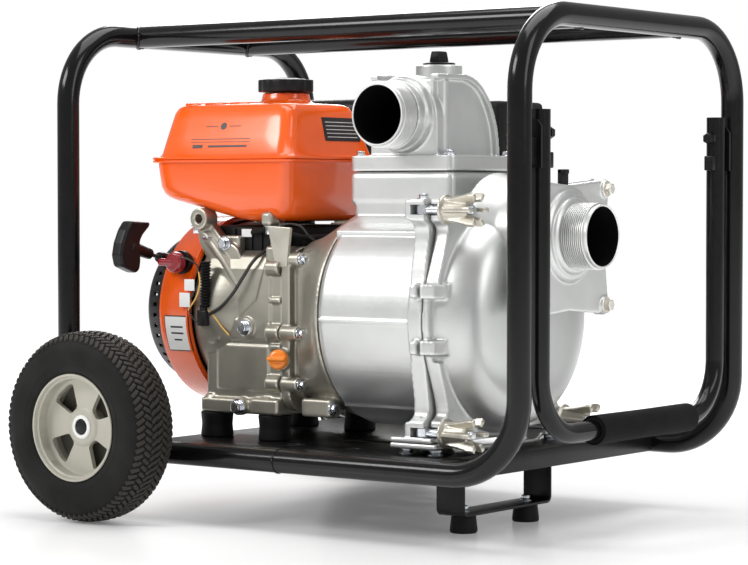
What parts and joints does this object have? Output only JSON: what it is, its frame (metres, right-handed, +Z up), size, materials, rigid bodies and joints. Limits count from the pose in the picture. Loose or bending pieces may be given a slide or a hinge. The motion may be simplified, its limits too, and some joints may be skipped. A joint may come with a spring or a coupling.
{
  "type": "portable fire pump",
  "caption": "Wheeled tubular frame carrying a petrol engine close-coupled to a trash pump, with threaded suction and discharge ports, swing-bolt cover clamps and a fold-out pull handle.",
  "frame": {"origin": "centre of the overall footprint, on the ground under the tyres and feet", "axes": "+Z up, +X from the recoil starter end towards the suction port, -Y towards the side that the discharge port faces"},
  "size_m": [0.799, 0.7672, 0.6875],
  "materials": {
    "frame_paint": "gloss black powder coat",
    "rubber": "matte",
    "tyre_rubber": "matte",
    "rim_plastic": "satin beige-grey",
    "steel": "zinc plated",
    "engine_casting": "die cast, clear coated",
    "orange_paint": "gloss orange-red",
    "black_plastic": "matte",
    "black_steel": "matte black",
    "red_plastic": "gloss",
    "amber_plastic": "gloss",
    "pump_alloy": "silver painted casting"
  },
  "bodies": {
    "unit": {"hoop_engine_end": "frame_paint", "hoop_pump_end": "frame_paint", "top_rail_near": "frame_paint", "top_rail_far": "frame_paint", "base_tray": "frame_paint", "foot_bracket": "frame_paint", "foot_near": "rubber", "foot_far": "rubber", "axle_near": "steel", "axle_far": "steel", "handle_bracket_near": "steel", "handle_bracket_far": "steel", "crankcase": "engine_casting", "crankcase_cover": "engine_casting", "engine_mount_1": "rubber", "engine_mount_2": "rubber", "engine_mount_3": "rubber", "engine_mount_4": "rubber", "cylinder": "engine_casting", "valve_cover": "engine_casting", "blower_housing": "orange_paint", "recoil_cover": "black_plastic", "fuel_tank": "orange_paint", "carburettor": "engine_casting", "air_cleaner": "black_plastic", "muffler": "steel", "muffler_guard": "black_steel", "pump_casing": "pump_alloy", "pump_bracket": "engine_casting", "front_cover": "pump_alloy", "discharge_elbow": "pump_alloy", "suction_flange": "pump_alloy", "pump_foot": "pump_alloy"},
    "wheel_near": {"rim_near": "rim_plastic", "tyre_near": "tyre_rubber"},
    "wheel_far": {"rim_far": "rim_plastic", "tyre_far": "tyre_rubber"},
    "handle": {"handle_tube": "frame_paint", "handle_grip": "rubber"},
    "crank": {"crankshaft": "steel", "flywheel": "engine_casting", "impeller": "steel"},
    "starter_pull": {"starter_grip": "black_plastic"},
    "starter_reel": {"starter_pulley": "black_plastic"},
    "filler_cap": {"fuel_cap": "black_plastic"},
    "priming_plug": {"priming_cap": "black_plastic"},
    "oil_dipstick": {"dipstick": "amber_plastic"},
    "switch_knob": {"engine_switch": "red_plastic"},
    "throttle": {"throttle_lever": "steel"},
    "choke": {"choke_lever": "black_plastic"},
    "fuel_valve": {"fuel_valve_lever": "black_plastic"},
    "suction_flap": {"flap_valve": "rubber"},
    "bolt_1": {"swing_bolt_1": "steel"},
    "bolt_2": {"swing_bolt_2": "steel"},
    "bolt_3": {"swing_bolt_3": "steel"},
    "bolt_4": {"swing_bolt_4": "steel"},
    "nut_1": {"hand_nut_1": "pump_alloy"},
    "nut_2": {"hand_nut_2": "pump_alloy"},
    "nut_3": {"hand_nut_3": "pump_alloy"},
    "nut_4": {"hand_nut_4": "pump_alloy"}
  },
  "joints": [
    {"name": "wheel_near_spin", "type": "hinge", "parent": "unit", "child": "wheel_near", "pos_m": [-0.2695, -0.3446, 0.13], "axis": [0, 1, 0], "continuous": true},
    {"name": "wheel_far_spin", "type": "hinge", "parent": "unit", "child": "wheel_far", "pos_m": [-0.2695, 0.3446, 0.13], "axis": [0, 1, 0], "continuous": true},
    {"name": "handle_fold", "type": "hinge", "parent": "unit", "child": "handle", "pos_m": [0.38, 0, 0.522], "axis": [0, -1, 0], "range_deg": [0, 100]},
    {"name": "crank_spin", "type": "hinge", "parent": "unit", "child": "crank", "pos_m": [-0.103, -0.06, 0.281], "axis": [1, 0, 0], "continuous": true},
    {"name": "starter_slide", "type": "slide", "parent": "unit", "child": "starter_pull", "axis": [0, -0.9701, 0.2425], "range_m": [0, 0.45], "stiffness_N_per_m": 12, "springref_m": -0.2},
    {"name": "starter_reel_spin", "type": "hinge", "parent": "unit", "child": "starter_reel", "pos_m": [-0.31, -0.06, 0.281], "axis": [1, 0, 0], "range_deg": [0, 530]},
    {"name": "fuel_cap_turn", "type": "hinge", "parent": "unit", "child": "filler_cap", "pos_m": [-0.148, -0.068, 0.6], "axis": [0, 0, 1], "range_deg": [0, 90]},
    {"name": "priming_cap_turn", "type": "hinge", "parent": "unit", "child": "priming_plug", "pos_m": [0.097, -0.04, 0.63], "axis": [0, 0, 1], "range_deg": [0, 360]},
    {"name": "dipstick_turn", "type": "hinge", "parent": "unit", "child": "oil_dipstick", "pos_m": [-0.066, -0.186, 0.22], "axis": [0.3271, -0.9345, 0.1402], "range_deg": [0, 360]},
    {"name": "engine_switch_turn", "type": "hinge", "parent": "unit", "child": "switch_knob", "pos_m": [-0.243, -0.196, 0.35], "axis": [0, -1, 0], "range_deg": [0, 60]},
    {"name": "throttle_turn", "type": "hinge", "parent": "unit", "child": "throttle", "pos_m": [-0.196, -0.12, 0.384], "axis": [0, 0, 1], "range_deg": [0, 45]},
    {"name": "choke_turn", "type": "hinge", "parent": "unit", "child": "choke", "pos_m": [-0.268, 0.118, 0.462], "axis": [1, 0, 0], "range_deg": [0, 50]},
    {"name": "fuel_valve_turn", "type": "hinge", "parent": "unit", "child": "fuel_valve", "pos_m": [-0.268, 0.118, 0.43], "axis": [1, 0, 0], "range_deg": [-70, 0]},
    {"name": "flap_swing", "type": "hinge", "parent": "unit", "child": "suction_flap", "pos_m": [0.302, -0.06, 0.4368], "axis": [0, 1, 0], "range_deg": [0, 55]},
    {"name": "bolt_1_swing", "type": "hinge", "parent": "unit", "child": "bolt_1", "pos_m": [0.187, -0.201, 0.4255], "axis": [0, 0, -1], "range_deg": [0, 95]},
    {"name": "bolt_2_swing", "type": "hinge", "parent": "unit", "child": "bolt_2", "pos_m": [0.187, -0.201, 0.1365], "axis": [0, 0, -1], "range_deg": [0, 95]},
    {"name": "bolt_3_swing", "type": "hinge", "parent": "unit", "child": "bolt_3", "pos_m": [0.187, 0.081, 0.1365], "axis": [0, 0, 1], "range_deg": [0, 95]},
    {"name": "bolt_4_swing", "type": "hinge", "parent": "unit", "child": "bolt_4", "pos_m": [0.187, 0.081, 0.4255], "axis": [0, 0, 1], "range_deg": [0, 95]},
    {"name": "nut_1_turn", "type": "hinge", "parent": "bolt_1", "child": "nut_1", "pos_m": [0.2095, -0.201, 0.4255], "axis": [1, 0, 0], "continuous": true},
    {"name": "nut_2_turn", "type": "hinge", "parent": "bolt_2", "child": "nut_2", "pos_m": [0.2095, -0.201, 0.1365], "axis": [1, 0, 0], "continuous": true},
    {"name": "nut_3_turn", "type": "hinge", "parent": "bolt_3", "child": "nut_3", "pos_m": [0.2095, 0.081, 0.1365], "axis": [1, 0, 0], "continuous": true},
    {"name": "nut_4_turn", "type": "hinge", "parent": "bolt_4", "child": "nut_4", "pos_m": [0.2095, 0.081, 0.4255], "axis": [1, 0, 0], "continuous": true}
  ],
  "couplings": [
    {"joint": "starter_reel_spin", "follows": "starter_slide", "rad_per_m": 20}
  ]
}
